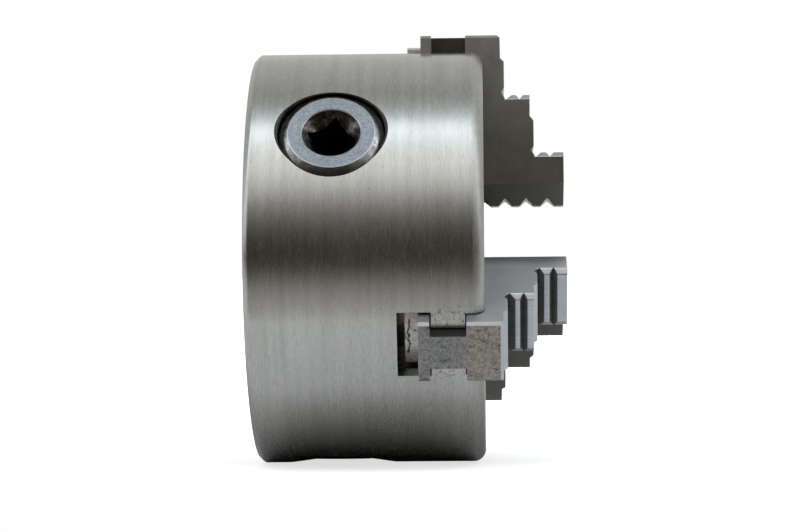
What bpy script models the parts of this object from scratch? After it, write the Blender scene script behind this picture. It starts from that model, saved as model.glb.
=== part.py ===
"""A 100 mm three-jaw self-centring lathe chuck: body, scroll, three pinions, three jaws, cover and screws.

Everything is modelled in the chuck's own frame and hung on one empty. In that frame Z is the spindle axis,
from the mounting face at 0 to the front face, and X points out through jaw_1. Lengths are metres.
"""
from math import atan, cos, pi, radians, sin, sqrt, tan

import bmesh
import bpy
from mathutils import Matrix, Vector

MM = 0.001
GAP = 0.3 * MM
JAWS = 3
THIRD = 2 * pi / JAWS

# Body
BODY_RADIUS = 50 * MM
BODY_LENGTH = 55 * MM
BORE_RADIUS = 11 * MM
FRONT_ROUND = 3 * MM
BACK_CHAMFER = 1.2 * MM
REGISTER_RADIUS = 36 * MM
REGISTER_DEPTH = 3.5 * MM
SHOULDER = 6.4 * MM
CHAMBER_RADIUS = 34.4 * MM
CHAMBER_FRONT = 39.9 * MM
HUB_RADIUS = 18 * MM
BODY_STEPS = 72
JAW_1_TILT = radians(-6.3)

# Fastenings in the mounting face
BOLT_CIRCLE = 42 * MM
BOLT_HOLE_RADIUS = 3.4 * MM
BOLT_HOLE_DEPTH = 15 * MM
PINION_SCREW_RADIUS = 2.7 * MM
PINION_SCREW_HEAD = 0.6 * MM
PINION_SCREW_SHOULDER = 6.5 * MM
DOG_RADIUS = 1.4 * MM
COVER_SCREW_CIRCLE = 14.6 * MM
COVER_SCREW_HEAD = 3.4 * MM
COVER_SCREW_RADIUS = 1.75 * MM
COVER_SCREW_END = 14.5 * MM
COVER_THICKNESS = 2.6 * MM

# Jaw and its T-slot, depths measured back from the front face
JAW_WIDTH = 14.8 * MM
JAW_WAIST = 8 * MM
JAW_NOSE = 12.3 * MM
JAW_END = 53.9 * MM
JAW_HEIGHT = 19.5 * MM
NOSE_TIP_WIDTH = 2.6 * MM
NOSE_BEVEL_LENGTH = 4.6 * MM
GRIP_CORNER = 1.2 * MM
LOW_GRIP = 39.1 * MM
HIGH_GRIP = 24.85 * MM
SHOULDER_DEPTH = 4.2 * MM
BASE_DEPTH = 12.6 * MM
JAW_DEPTH = 15.2 * MM
TOOTH_DEPTH = 18.4 * MM
SLOT_DEPTH = 20.1 * MM

# Scroll
SCROLL_PITCH = 5 * MM
RIDGE_WIDTH = 2.2 * MM
RIDGE_INSET = 0.1 * MM
RIDGE_PHASE = 48.4 * MM
RIDGE_ROOT = 36.3 * MM
RIDGE_TIP = 39.5 * MM
SCROLL_RADIUS = 34 * MM
SCROLL_BORE = HUB_RADIUS + GAP
SCROLL_SLEEVE = 21.5 * MM
SCROLL_BACK = 6.7 * MM
OUTER_TOOTH = 52 * MM
OUTER_TOOTH_FACES = (OUTER_TOOTH, OUTER_TOOTH - SCROLL_PITCH * 4 / 3, OUTER_TOOTH - SCROLL_PITCH * 2 / 3)
JAW_TOOTH_WIDTH = 2.2 * MM
POINTS_PER_TURN = 44

# Bevel gears, whose cones share an apex on the spindle axis
PINION_HEIGHT = 20 * MM
PINION_TEETH = 12
GEAR_TEETH = 42
GEAR_OUTER = 33.6 * MM
GEAR_INNER = 22.3 * MM
ADDENDUM = 0.9
DEDENDUM = 1.2
TOOTH_FILL = 0.42
PRESSURE_ANGLE = radians(25)

# Pinion
PINION_FACE = 49 * MM
PINION_HOLE = 13.15 * MM
JOURNAL_RADIUS = 12.85 * MM
JOURNAL_END = 45.5 * MM
GROOVE_RADIUS = 10.5 * MM
GROOVE_HALF_WIDTH = 1.8 * MM
PINION_NECK = 34.7 * MM
KEY_SQUARE = 8.1 * MM
KEY_DEPTH = 12 * MM
KEY_MOUTH = 6.85 * MM
KEY_CORNER = radians(-9.4)

for leftover in list(bpy.data.objects):
    bpy.data.objects.remove(leftover)


def new_collection(name):
    collection = bpy.data.collections.new(name)
    bpy.context.scene.collection.children.link(collection)
    return collection


PARTS = new_collection("lathe_chuck")
CUTTERS = new_collection("cutters")


def steel(name, colour, roughness, metallic=1.0):
    material = bpy.data.materials.new(name)
    material.use_nodes = True
    shader = material.node_tree.nodes["Principled BSDF"]
    shader.inputs["Base Color"].default_value = (*colour, 1)
    shader.inputs["Roughness"].default_value = roughness
    shader.inputs["Metallic"].default_value = metallic
    material.diffuse_color = (*colour, 1)
    return material


def frame(name, matrix, parent=None):
    empty = bpy.data.objects.new(name, None)
    PARTS.objects.link(empty)
    empty.parent = parent
    empty.matrix_local = matrix
    return empty


def turn(angle):
    return Matrix.Rotation(angle, 4, "Z")


def solid(name, mesh, parent, material=None):
    """One sub-part, or a cutter when it has no material."""
    piece = bpy.data.objects.new(name, mesh)
    piece.parent = parent
    if material is None:
        CUTTERS.objects.link(piece)
        piece.hide_render = True
        piece.display_type = "WIRE"
        return piece
    PARTS.objects.link(piece)
    mesh.materials.clear()
    mesh.materials.append(material)
    mesh.shade_smooth()
    mesh.set_sharp_from_angle(angle=radians(35))
    return piece


def combine(piece, other, operation="DIFFERENCE"):
    change = piece.modifiers.new(other.name, "BOOLEAN")
    change.object = other
    change.operation = operation
    change.solver = "EXACT"


def turned(name, profile, steps):
    """A closed (radius, height) profile turned once about Z."""
    mesh = bpy.data.meshes.new(name)
    points = [(radius, 0, height) for radius, height in profile]
    edges = [(i, (i + 1) % len(points)) for i in range(len(points))]
    mesh.from_pydata(points, edges, [])
    holder = bpy.data.objects.new(name + "_profile", mesh)
    PARTS.objects.link(holder)
    spin = holder.modifiers.new("turn", "SCREW")
    spin.steps = steps
    spin.render_steps = steps
    spin.use_merge_vertices = True
    spin.merge_threshold = 0.00001
    return baked(name, holder)


def prism(name, outline, thickness, placing=None):
    """A flat closed outline with thickness, centred on its own plane."""
    curve = bpy.data.curves.new(name, "CURVE")
    curve.dimensions = "2D"
    curve.fill_mode = "BOTH"
    curve.extrude = thickness / 2
    spline = curve.splines.new("POLY")
    spline.points.add(len(outline) - 1)
    for point, (across, along) in zip(spline.points, outline):
        point.co = (across, along, 0, 1)
    spline.use_cyclic_u = True
    holder = bpy.data.objects.new(name + "_outline", curve)
    PARTS.objects.link(holder)
    mesh = baked(name, holder)
    if placing is not None:
        mesh.transform(placing)
    return mesh


def baked(name, holder):
    """The evaluated shape of a profile or curve as a welded, outward-facing mesh. The holder is removed."""
    mesh = bpy.data.meshes.new_from_object(holder.evaluated_get(bpy.context.evaluated_depsgraph_get()))
    mesh.name = name
    bpy.data.objects.remove(holder)
    shape = bmesh.new()
    shape.from_mesh(mesh)
    bmesh.ops.remove_doubles(shape, verts=shape.verts, dist=0.000002)
    bmesh.ops.recalc_face_normals(shape, faces=shape.faces)
    shape.to_mesh(mesh)
    shape.free()
    return mesh


def rod(name, radius, low, high, sides=32):
    mesh = bpy.data.meshes.new(name)
    shape = bmesh.new()
    bmesh.ops.create_cone(shape, cap_ends=True, segments=sides, radius1=radius, radius2=radius,
                          depth=high - low, matrix=Matrix.Translation((0, 0, (low + high) / 2)))
    shape.to_mesh(mesh)
    shape.free()
    return mesh


def rod_pattern(name, radius, low, high, circle, first_angle, sides=16):
    """Three equal rods on a circle about Z, as one mesh."""
    mesh = bpy.data.meshes.new(name)
    shape = bmesh.new()
    for number in range(JAWS):
        angle = first_angle + number * THIRD
        place = Matrix.Translation((circle * cos(angle), circle * sin(angle), (low + high) / 2))
        bmesh.ops.create_cone(shape, cap_ends=True, segments=sides, radius1=radius, radius2=radius,
                              depth=high - low, matrix=place)
    shape.to_mesh(mesh)
    shape.free()
    return mesh


def arc(centre, radius, start, end, count):
    """Points on an arc, both ends included."""
    angles = [start + (end - start) * i / count for i in range(count + 1)]
    return [(centre[0] + radius * cos(a), centre[1] + radius * sin(a)) for a in angles]


# Frames: the chuck axis lies along world +X, with world +Z up and jaw_1 tilted a little back from it.
CHUCK = frame("chuck_axis",
              Matrix.Rotation(pi, 4, "Z") @ Matrix.Rotation(-pi / 2, 4, "Y") @ turn(JAW_1_TILT))
JAW_FRAMES = [frame(f"jaw_direction_{n + 1}", turn(n * THIRD), CHUCK) for n in range(JAWS)]
PINION_ANGLES = [THIRD / 2 + n * THIRD for n in range(JAWS)]
PINION_FRAMES = [
    frame(f"pinion_direction_{n + 1}",
          Matrix.Translation((0, 0, PINION_HEIGHT)) @ turn(angle) @ Matrix.Rotation(pi / 2, 4, "Y"), CHUCK)
    for n, angle in enumerate(PINION_ANGLES)]

TURNED_STEEL = steel("turned_steel", (0.46, 0.45, 0.43), 0.32)
JAW_STEEL = steel("hardened_jaw_steel", (0.20, 0.20, 0.19), 0.38)
PINION_STEEL = steel("pinion_steel", (0.50, 0.51, 0.53), 0.30)
SCROLL_STEEL = steel("scroll_steel", (0.33, 0.33, 0.32), 0.35)
COVER_STEEL = steel("cover_steel", (0.38, 0.38, 0.37), 0.42)
SCREW_STEEL = steel("black_screw_steel", (0.06, 0.06, 0.06), 0.45)


def slot_outline():
    """Half of the T-slot's section mirrored: wide mouth, narrow neck between the guide ribs, wide foot."""
    mouth = JAW_WIDTH / 2 + GAP
    neck = JAW_WAIST / 2 + GAP
    foot = JAW_WIDTH / 2 + 2 * GAP
    rib_top = BODY_LENGTH - SHOULDER_DEPTH - GAP
    rib_bottom = BODY_LENGTH - BASE_DEPTH + GAP
    right = [(foot, BODY_LENGTH - SLOT_DEPTH), (foot, rib_bottom), (neck, rib_bottom), (neck, rib_top),
             (mouth, rib_top), (mouth, BODY_LENGTH + 5 * MM)]
    return right + [(-across, height) for across, height in reversed(right)]


def make_body():
    front_arc = arc((BODY_RADIUS - FRONT_ROUND, BODY_LENGTH - FRONT_ROUND), FRONT_ROUND, 0, pi / 2, 5)
    lip = 0.8 * MM
    profile = [
        (BORE_RADIUS, SHOULDER), (HUB_RADIUS, SHOULDER), (HUB_RADIUS, CHAMBER_FRONT),
        (CHAMBER_RADIUS, CHAMBER_FRONT), (CHAMBER_RADIUS, SHOULDER), (REGISTER_RADIUS, SHOULDER),
        (REGISTER_RADIUS, 0), (BODY_RADIUS - BACK_CHAMFER, 0), (BODY_RADIUS, BACK_CHAMFER), *front_arc,
        (BORE_RADIUS + lip, BODY_LENGTH), (BORE_RADIUS, BODY_LENGTH - lip)]
    body = solid("chuck_body", turned("chuck_body", profile, BODY_STEPS), CHUCK, TURNED_STEEL)

    along_radius = Matrix(((0, 0, 1, 0), (1, 0, 0, 0), (0, 1, 0, 0), (0, 0, 0, 1)))
    slot_start = BORE_RADIUS / 2
    slot_end = BODY_RADIUS + 5 * MM
    slot = prism("jaw_slot", slot_outline(), slot_end - slot_start,
                 Matrix.Translation(((slot_start + slot_end) / 2, 0, 0)) @ along_radius)
    for number, direction in enumerate(JAW_FRAMES, 1):
        combine(body, solid(f"jaw_slot_{number}", slot, direction))
    hole = rod("pinion_hole", PINION_HOLE, 26 * MM, BODY_RADIUS + 5 * MM, 36)
    for number, direction in enumerate(PINION_FRAMES, 1):
        combine(body, solid(f"pinion_hole_{number}", hole, direction))
    bolts = rod_pattern("bolt_holes", BOLT_HOLE_RADIUS, -MM, BOLT_HOLE_DEPTH, BOLT_CIRCLE, 0)
    combine(body, solid("bolt_holes", bolts, CHUCK))
    grub_holes = rod_pattern("pinion_screw_holes", PINION_SCREW_RADIUS + GAP, -MM, 9 * MM, BOLT_CIRCLE,
                             THIRD / 2)
    combine(body, solid("pinion_screw_holes", grub_holes, CHUCK))
    cover_holes = rod_pattern("cover_screw_holes", COVER_SCREW_RADIUS + GAP, SHOULDER - MM,
                              COVER_SCREW_END + MM, COVER_SCREW_CIRCLE, THIRD / 2)
    combine(body, solid("cover_screw_holes", cover_holes, CHUCK))


def make_cover():
    edge = 0.4 * MM
    back = REGISTER_DEPTH
    front = REGISTER_DEPTH + COVER_THICKNESS
    rim = REGISTER_RADIUS - GAP
    profile = [(BORE_RADIUS + edge, back), (BORE_RADIUS, back + edge), (BORE_RADIUS, front), (rim, front),
               (rim, back + edge), (rim - edge, back)]
    cover = solid("cover_plate", turned("cover_plate", profile, 48), CHUCK, COVER_STEEL)
    seat = countersink("cover_screw_seat", GAP, back - MM, front + MM)
    for number, angle in enumerate(PINION_ANGLES, 1):
        combine(cover, solid(f"cover_screw_seat_{number}", seat, screw_frame("cover_seat", number, angle)))


def screw_frame(name, number, angle, circle=COVER_SCREW_CIRCLE):
    place = Matrix.Translation((circle * cos(angle), circle * sin(angle), 0))
    return frame(f"{name}_{number}", place, CHUCK)


def countersink(name, clearance, low, high):
    """A countersunk screw's outer shape grown by a clearance: cylinder, cone, then shank."""
    head = COVER_SCREW_HEAD + clearance
    shank = COVER_SCREW_RADIUS + clearance
    head_face = REGISTER_DEPTH + 0.3 * MM
    cone_end = head_face + head - shank
    profile = [(0, low), (head, low), (head, max(low, head_face) + 0.01 * MM), (shank, cone_end),
               (shank, high), (0, high)]
    return turned(name, profile, 16)


def hex_socket(name, across, low, high):
    return rod(name, across / 2 / cos(pi / 6), low, high, 6)


def make_screws():
    cover_screw = countersink("cover_screw", 0, REGISTER_DEPTH + 0.3 * MM, COVER_SCREW_END)
    cover_key = hex_socket("cover_screw_socket", 2.5 * MM, 0, REGISTER_DEPTH + 1.6 * MM)
    edge = 0.4 * MM
    dog_end = PINION_HEIGHT - GROOVE_RADIUS - GAP
    grub_profile = [(0, PINION_SCREW_HEAD), (PINION_SCREW_RADIUS - edge, PINION_SCREW_HEAD),
                    (PINION_SCREW_RADIUS, PINION_SCREW_HEAD + edge),
                    (PINION_SCREW_RADIUS, PINION_SCREW_SHOULDER), (DOG_RADIUS, PINION_SCREW_SHOULDER + edge),
                    (DOG_RADIUS, dog_end), (0, dog_end)]
    grub = turned("pinion_screw", grub_profile, 16)
    grub_key = hex_socket("pinion_screw_socket", 2.5 * MM, 0, PINION_SCREW_HEAD + 2 * MM)
    for number, angle in enumerate(PINION_ANGLES, 1):
        place = screw_frame("cover_screw_place", number, angle)
        screw = solid(f"cover_screw_{number}", cover_screw.copy(), place, SCREW_STEEL)
        combine(screw, solid(f"cover_screw_socket_{number}", cover_key, place))
        place = screw_frame("pinion_screw_place", number, angle, BOLT_CIRCLE)
        screw = solid(f"pinion_screw_{number}", grub.copy(), place, SCREW_STEEL)
        combine(screw, solid(f"pinion_screw_socket_{number}", grub_key, place))


def spiral_outline():
    """The ridge of the scroll in plan: its radius falls by one pitch in each turn."""
    turns = (RIDGE_PHASE - HUB_RADIUS + RIDGE_WIDTH) / SCROLL_PITCH
    skipped = (RIDGE_PHASE - SCROLL_RADIUS - RIDGE_WIDTH) / SCROLL_PITCH
    count = round((turns - skipped) * POINTS_PER_TURN)
    angles = [2 * pi * (skipped + (turns - skipped) * i / count) for i in range(count + 1)]

    def side(offset):
        radii = [RIDGE_PHASE - SCROLL_PITCH * angle / (2 * pi) + offset for angle in angles]
        return [(radius * cos(angle), radius * sin(angle)) for radius, angle in zip(radii, angles)]

    return side(RIDGE_WIDTH / 2) + list(reversed(side(-RIDGE_WIDTH / 2)))


def gear_teeth_mesh():
    """Straight bevel teeth on the scroll's back: cubes drawn out to the shared apex, narrower at the tip."""
    slope = PINION_TEETH / GEAR_TEETH
    buried = 2 * MM
    mesh = bpy.data.meshes.new("gear_teeth")
    shape = bmesh.new()
    for number in range(GEAR_TEETH):
        tooth = bmesh.ops.create_cube(shape, size=2)["verts"]
        angle = (number + 0.5) * 2 * pi / GEAR_TEETH
        for corner in tooth:
            outer, side, up = corner.co
            radius = GEAR_OUTER if outer > 0 else GEAR_INNER
            module = 2 * radius / GEAR_TEETH
            height = module * DEDENDUM + buried if up > 0 else -module * ADDENDUM
            half = module * pi * TOOTH_FILL / 2 + min(height, module * DEDENDUM) * tan(PRESSURE_ANGLE)
            spot = turn(angle) @ Vector((radius, side * half, radius * slope + height))
            corner.co = spot + Vector((0, 0, PINION_HEIGHT))
    shape.to_mesh(mesh)
    shape.free()
    return mesh


def make_scroll():
    slope = PINION_TEETH / GEAR_TEETH
    root = slope + 2 * DEDENDUM / GEAR_TEETH
    profile = [(SCROLL_BORE, SCROLL_BACK), (SCROLL_SLEEVE, SCROLL_BACK),
               (SCROLL_SLEEVE, PINION_HEIGHT + SCROLL_SLEEVE * root),
               (SCROLL_RADIUS, PINION_HEIGHT + SCROLL_RADIUS * root),
               (SCROLL_RADIUS, RIDGE_ROOT), (SCROLL_BORE, RIDGE_ROOT)]
    scroll = solid("scroll_plate", turned("scroll_plate", profile, 64), CHUCK, SCROLL_STEEL)

    buried = 0.5 * MM
    ridge_middle = Matrix.Translation((0, 0, (RIDGE_TIP + RIDGE_ROOT - buried) / 2))
    ridge = solid("scroll_ridge", prism("scroll_ridge", spiral_outline(), RIDGE_TIP - RIDGE_ROOT + buried,
                                        ridge_middle), CHUCK)
    inner = SCROLL_BORE + RIDGE_INSET
    outer = SCROLL_RADIUS - RIDGE_INSET
    limit_profile = [(inner, 0), (outer, 0), (outer, BODY_LENGTH), (inner, BODY_LENGTH)]
    combine(ridge, solid("scroll_limit", turned("scroll_limit", limit_profile, 64), CHUCK), "INTERSECT")
    combine(scroll, ridge, "UNION")
    combine(scroll, solid("gear_teeth", gear_teeth_mesh(), CHUCK), "UNION")


def pinion_teeth_outline(reach):
    """The pinion's toothed section at a distance from the apex, with involute flanks down to the root."""
    module = 2 * reach / GEAR_TEETH
    pitch_radius = module * PINION_TEETH / 2
    base_radius = pitch_radius * cos(PRESSURE_ANGLE)
    tip_radius = pitch_radius + module * ADDENDUM
    root_radius = pitch_radius - module * DEDENDUM

    def unwound(radius):
        if radius <= base_radius:
            return 0
        roll = sqrt((radius / base_radius) ** 2 - 1)
        return roll - atan(roll)

    radii = [root_radius, base_radius, pitch_radius, tip_radius]
    half_angle = pi * TOOTH_FILL / PINION_TEETH
    outline = []
    for number in range(PINION_TEETH):
        middle = number * 2 * pi / PINION_TEETH
        flank = [(radius, half_angle + unwound(pitch_radius) - unwound(radius)) for radius in radii]
        rising = [(radius * cos(middle - a), radius * sin(middle - a)) for radius, a in flank]
        falling = [(radius * cos(middle + a), radius * sin(middle + a)) for radius, a in reversed(flank)]
        outline += rising + falling
    return outline


def pinion_gear_mesh():
    """The toothed end: a prism at the outer end's size, drawn in towards the apex."""
    outer = PINION_NECK + 0.5 * MM
    middle = (outer + GEAR_INNER) / 2
    mesh = prism("pinion_gear", pinion_teeth_outline(outer), outer - GEAR_INNER,
                 Matrix.Translation((0, 0, middle)))
    for corner in mesh.vertices:
        shrink = corner.co.z / outer
        corner.co.x *= shrink
        corner.co.y *= shrink
    return mesh


def make_pinions():
    face_radius = 10.1 * MM
    head_radius = 11.95 * MM
    head_edge = 47.5 * MM
    mouth_floor = PINION_FACE - KEY_MOUTH + KEY_SQUARE / 2
    groove_low = BOLT_CIRCLE - GROOVE_HALF_WIDTH
    groove_high = BOLT_CIRCLE + GROOVE_HALF_WIDTH
    profile = [(0, PINION_NECK), (JOURNAL_RADIUS - MM, PINION_NECK), (JOURNAL_RADIUS, PINION_NECK + MM),
               (JOURNAL_RADIUS, groove_low), (GROOVE_RADIUS, groove_low), (GROOVE_RADIUS, groove_high),
               (JOURNAL_RADIUS, groove_high), (JOURNAL_RADIUS, JOURNAL_END), (head_radius, JOURNAL_END),
               (head_radius, head_edge), (face_radius, PINION_FACE), (KEY_MOUTH, PINION_FACE),
               (KEY_SQUARE / 2, mouth_floor), (0, mouth_floor)]
    blank = turned("pinion", profile, 36)
    gear = pinion_gear_mesh()
    half_diagonal = KEY_SQUARE / sqrt(2)
    key = rod("key_socket", half_diagonal, PINION_FACE - KEY_DEPTH, PINION_FACE + MM, 4)
    key.transform(turn(KEY_CORNER))
    mouth = turned("key_mouth", [(0, PINION_FACE + MM), (KEY_MOUTH + MM, PINION_FACE + MM),
                                 (0, PINION_FACE - KEY_MOUTH)], 36)
    for number, direction in enumerate(PINION_FRAMES, 1):
        pinion = solid(f"pinion_{number}", blank.copy(), direction, PINION_STEEL)
        combine(pinion, solid(f"pinion_gear_{number}", gear, direction), "UNION")
        combine(pinion, solid(f"key_socket_{number}", key, direction))
        combine(pinion, solid(f"key_mouth_{number}", mouth, direction))


def jaw_outline():
    """The jaw from the side, (radius, height above the front face): end, two steps, serrated nose."""
    floor = -JAW_DEPTH
    end_and_low_step = [(53.9, 3.7), (53.4, 4.2), (47.9, 4.4), (47.2, 5.2), (40.8, 5.2), (39.7, 4.5)]
    low_grip = [(37.8, 5.6), (39.1, 7.0), (39.1, 8.1), (37.8, 8.95), (39.1, 9.8), (39.1, 11.4)]
    middle_step = [(33.7, 11.4), (32.5, 12.3), (26.3, 12.3), (25.3, 11.6)]
    high_grip = [(23.55, 12.8), (24.85, 14.0), (24.85, 15.3), (23.55, 16.2), (24.85, 17.1), (24.85, 19.5)]
    corners = end_and_low_step + low_grip + middle_step + high_grip
    outline = [(JAW_END, floor)] + [(radius * MM, height * MM) for radius, height in corners]
    outline.append((JAW_NOSE, JAW_HEIGHT))
    valley = JAW_NOSE + 1.55 * MM
    for number in range(4):
        low_point = (15.5 - 5.13 * number) * MM
        outline += [(JAW_NOSE, low_point + 1.75 * MM), (valley, low_point), (JAW_NOSE, low_point - 1.6 * MM)]
    outline.append((JAW_NOSE, floor))
    return outline


def jaw_tooth_outline(outer_face):
    """A scroll tooth in plan, thinner at its ends so that it clears the ridge at every radius it meets."""
    reach = JAW_WIDTH / 2 - GAP
    lean = -SCROLL_PITCH / (2 * pi)
    outer_curve = 18.5 * MM
    inner_curve = 34 * MM
    inner_face = outer_face - JAW_TOOTH_WIDTH

    def bowed(face, curve, across):
        tilt = across - lean * curve / face
        return face - curve + sqrt(curve ** 2 - tilt ** 2)

    spots = [reach * (i / 5 - 1) for i in range(11)]
    outer = [(bowed(outer_face, outer_curve, across), across) for across in spots]
    inner = [(bowed(inner_face, inner_curve, across), across) for across in reversed(spots)]
    return outer + inner


def jaw_teeth_mesh(name, outer_face):
    buried = 0.3 * MM
    height = TOOTH_DEPTH - JAW_DEPTH + buried
    middle = BODY_LENGTH - TOOTH_DEPTH + height / 2
    shape = bmesh.new()
    face = outer_face
    while face - JAW_TOOTH_WIDTH > JAW_NOSE:
        tooth = prism(name, jaw_tooth_outline(face), height, Matrix.Translation((0, 0, middle)))
        shape.from_mesh(tooth)
        bpy.data.meshes.remove(tooth)
        face -= SCROLL_PITCH
    mesh = bpy.data.meshes.new(name)
    shape.to_mesh(mesh)
    shape.free()
    return mesh


def box_mesh(name, low, high):
    mesh = bpy.data.meshes.new(name)
    shape = bmesh.new()
    bmesh.ops.create_cube(shape, size=1)
    low = Vector(low)
    high = Vector(high)
    for corner in shape.verts:
        share = corner.co + Vector((0.5, 0.5, 0.5))
        corner.co = Vector(low[i] + (high[i] - low[i]) * share[i] for i in range(3))
    shape.to_mesh(mesh)
    shape.free()
    return mesh


def nose_bevel_mesh(side):
    """A wedge that takes one corner off the jaw's nose, so that three jaws meet at the centre."""
    tip = NOSE_TIP_WIDTH / 2
    flank = JAW_WIDTH / 2
    slope = (flank - tip) / NOSE_BEVEL_LENGTH
    before = 3 * MM
    beyond = 1.5 * MM
    outline = [(JAW_NOSE - before, tip - before * slope),
               (JAW_NOSE + NOSE_BEVEL_LENGTH + beyond, flank + beyond * slope),
               (JAW_NOSE - before, flank + beyond * slope)]
    return prism("nose_bevel", [(radius, side * across) for radius, across in outline], 60 * MM,
                 Matrix.Translation((0, 0, BODY_LENGTH)))


def grip_corner_mesh(side, grip, low, high):
    """A wedge that takes one corner off the end of a grip face, between two heights above the front face."""
    spare = 0.6 * MM
    flank = JAW_WIDTH / 2
    outline = [(grip + spare, flank - GRIP_CORNER - spare), (grip + spare, flank + spare),
               (grip - GRIP_CORNER - spare, flank + spare)]
    return prism("grip_corner", [(radius, side * across) for radius, across in outline], high - low,
                 Matrix.Translation((0, 0, BODY_LENGTH + (low + high) / 2)))


def make_jaws():
    upright = Matrix.Translation((0, 0, BODY_LENGTH)) @ Matrix.Rotation(pi / 2, 4, "X")
    blank = prism("jaw", jaw_outline(), JAW_WIDTH, upright)
    groove_low = BODY_LENGTH - BASE_DEPTH
    groove_high = BODY_LENGTH - SHOULDER_DEPTH
    for number, (direction, outer_face) in enumerate(zip(JAW_FRAMES, OUTER_TOOTH_FACES), 1):
        jaw = solid(f"jaw_{number}", blank.copy(), direction, JAW_STEEL)
        teeth = solid(f"jaw_teeth_{number}", jaw_teeth_mesh(f"jaw_teeth_{number}", outer_face), direction)
        combine(jaw, teeth, "UNION")
        for side, label in ((1, "left"), (-1, "right")):
            edges = sorted((side * JAW_WAIST / 2, side * JAW_WIDTH))
            groove = box_mesh("guide_groove", (0, edges[0], groove_low),
                              (2 * JAW_END, edges[1], groove_high))
            combine(jaw, solid(f"guide_groove_{label}_{number}", groove, direction))
            combine(jaw, solid(f"nose_bevel_{label}_{number}", nose_bevel_mesh(side), direction))
            low_corner = grip_corner_mesh(side, LOW_GRIP, 5.35 * MM, 13 * MM)
            combine(jaw, solid(f"low_grip_corner_{label}_{number}", low_corner, direction))
            high_corner = grip_corner_mesh(side, HIGH_GRIP, 12.45 * MM, 21 * MM)
            combine(jaw, solid(f"high_grip_corner_{label}_{number}", high_corner, direction))


make_body()
make_cover()
make_screws()
make_scroll()
make_pinions()
make_jaws()
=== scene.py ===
"""Looks of the lathe chuck: a fine mesh for every visible piece, steel materials, light and camera."""
from math import atan, cos, pi, radians, sin, sqrt

import bmesh
import bpy
from mathutils import Matrix, Vector


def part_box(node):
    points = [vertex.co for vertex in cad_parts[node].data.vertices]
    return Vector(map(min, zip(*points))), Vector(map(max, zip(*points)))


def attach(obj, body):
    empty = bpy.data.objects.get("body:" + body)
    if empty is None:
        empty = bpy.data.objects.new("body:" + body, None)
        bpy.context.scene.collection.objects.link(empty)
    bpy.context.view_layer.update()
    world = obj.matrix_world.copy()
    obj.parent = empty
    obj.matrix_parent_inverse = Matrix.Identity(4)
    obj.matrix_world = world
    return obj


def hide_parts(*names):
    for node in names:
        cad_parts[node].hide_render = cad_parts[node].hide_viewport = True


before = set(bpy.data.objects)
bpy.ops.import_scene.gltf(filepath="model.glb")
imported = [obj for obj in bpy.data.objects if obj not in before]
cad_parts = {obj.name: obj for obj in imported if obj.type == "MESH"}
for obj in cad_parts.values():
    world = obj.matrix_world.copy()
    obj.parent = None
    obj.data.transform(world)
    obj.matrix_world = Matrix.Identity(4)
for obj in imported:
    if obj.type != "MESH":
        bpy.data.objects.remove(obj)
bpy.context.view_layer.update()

MM = 0.001
THIRD = 2 * pi / 3

# The CAD model's driving sizes
BODY_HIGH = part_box("chuck_body")[1]
BODY_RADIUS = BODY_HIGH[2]
BODY_LENGTH = BODY_HIGH[0]
JAW_1_TILT = radians(-6.3)
BORE_RADIUS = 11 * MM
REGISTER_RADIUS = 36 * MM
REGISTER_DEPTH = 3.5 * MM
SHOULDER = 6.4 * MM
CHAMBER_RADIUS = 34.4 * MM
CHAMBER_FRONT = 39.9 * MM
HUB_RADIUS = 18 * MM
BOLT_CIRCLE = 42 * MM
COVER_SCREW_CIRCLE = 14.6 * MM
JAW_WIDTH = 14.8 * MM
JAW_WAIST = 8 * MM
JAW_NOSE = 12.3 * MM
JAW_END = 53.9 * MM
JAW_HEIGHT = 19.5 * MM
JAW_DEPTH = 15.2 * MM
LOW_GRIP = 39.1 * MM
HIGH_GRIP = 24.85 * MM
GROOVE_TOP = BODY_LENGTH - 4.2 * MM
GROOVE_BOTTOM = BODY_LENGTH - 12.6 * MM
TOOTH_DEPTH = 18.4 * MM
TOOTH_WIDTH = 2.2 * MM
SLOT_DEPTH = 20.1 * MM
PINION_HEIGHT = 20 * MM
PINION_FACE = 49 * MM
PINION_HOLE = 12.5 * MM
SCROLL_PITCH = 5 * MM

# The spindle axis becomes Z: level with the frame first, and then turned with jaw 1 on +X.
LEVEL = Matrix.Rotation(pi, 4, "Z") @ Matrix.Rotation(-pi / 2, 4, "Y")
CHUCK = LEVEL @ Matrix.Rotation(JAW_1_TILT, 4, "Z")


def turn(angle):
    return Matrix.Rotation(angle, 4, "Z")


def pinion_place(number):
    angle = THIRD / 2 + number * THIRD
    return CHUCK @ Matrix.Translation((0, 0, PINION_HEIGHT)) @ turn(angle) @ Matrix.Rotation(pi / 2, 4, "Y")


def screw_place(number, circle):
    angle = THIRD / 2 + number * THIRD
    return CHUCK @ Matrix.Translation((circle * cos(angle), circle * sin(angle), 0))


# ---------------------------------------------------------------- shapes

def mesh_object(name, mesh):
    piece = bpy.data.objects.new(name, mesh)
    bpy.context.scene.collection.objects.link(piece)
    return piece


def bake(piece):
    """Apply a piece's modifiers and weld what they leave."""
    bpy.context.view_layer.update()
    mesh = bpy.data.meshes.new_from_object(piece.evaluated_get(bpy.context.evaluated_depsgraph_get()))
    piece.modifiers.clear()
    if piece.type == "MESH":
        piece.data = mesh
        return piece
    name = piece.name
    bpy.data.objects.remove(piece)
    return mesh_object(name, mesh)


def weld(piece):
    shape = bmesh.new()
    shape.from_mesh(piece.data)
    bmesh.ops.remove_doubles(shape, verts=shape.verts, dist=0.000002)
    bmesh.ops.recalc_face_normals(shape, faces=shape.faces)
    shape.to_mesh(piece.data)
    shape.free()
    return piece


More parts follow.
